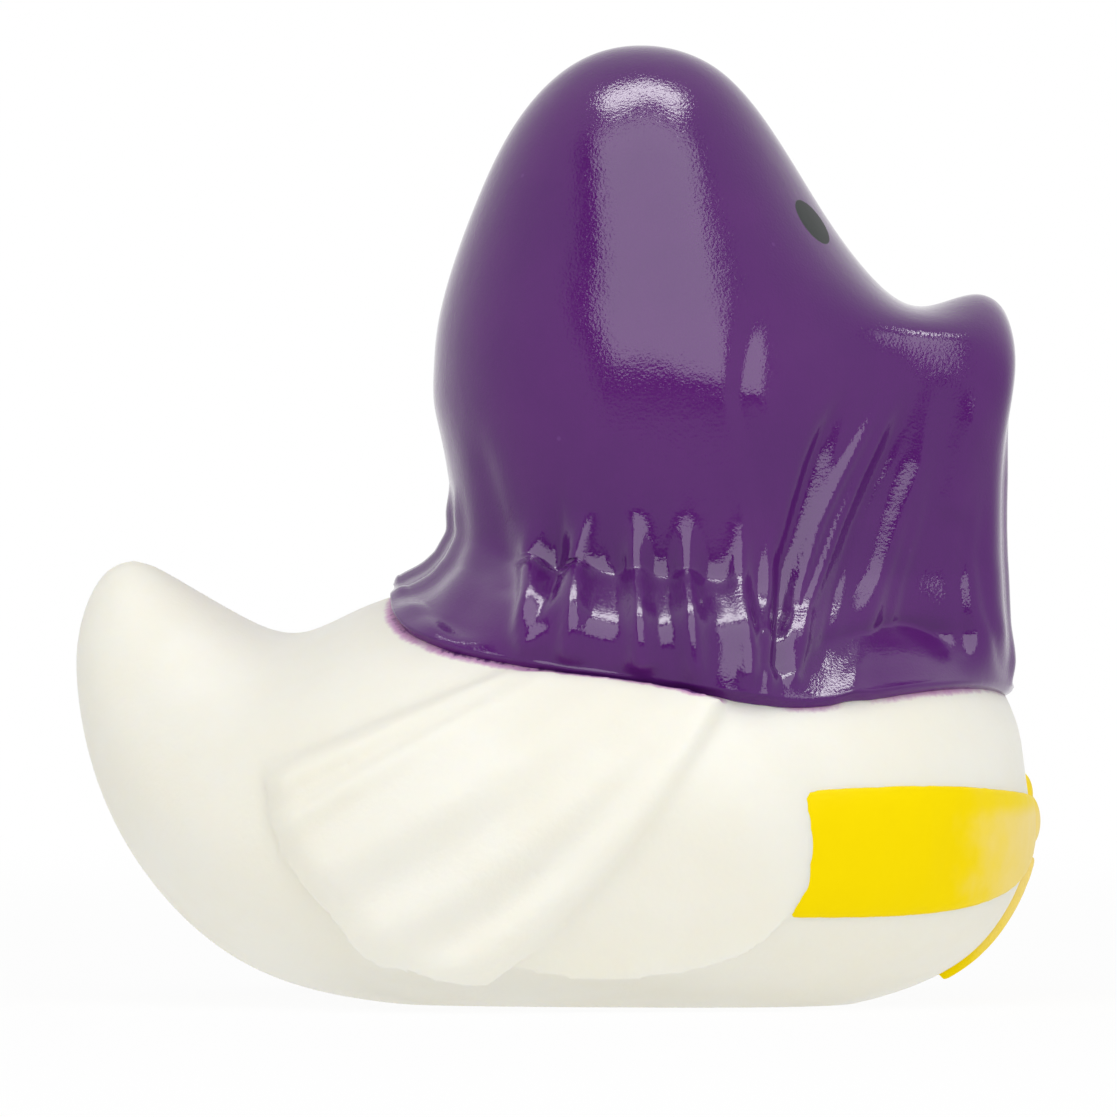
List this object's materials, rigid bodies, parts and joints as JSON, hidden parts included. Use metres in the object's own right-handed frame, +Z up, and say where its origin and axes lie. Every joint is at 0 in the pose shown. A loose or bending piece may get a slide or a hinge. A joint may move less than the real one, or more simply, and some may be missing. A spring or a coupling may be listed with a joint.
{
  "type": "rubber duck",
  "caption": "Hollow moulded bath duck wearing a draped hood over head and bill, wide pleated sleeves over the wings and a knotted belt.",
  "frame": {"origin": "bottom centre of the bounding box, on the surface the duck stands on", "axes": "+X from the tail towards the bill, +Y to the duck's left, +Z up"},
  "size_m": [0.0854, 0.0718, 0.0846],
  "materials": {
    "vinyl": "matte off-white soft vinyl",
    "hood_paint": "glossy purple paint with a fine orange peel"
  },
  "bodies": {
    "root": {"duck": "vinyl"}
  },
  "joints": []
}
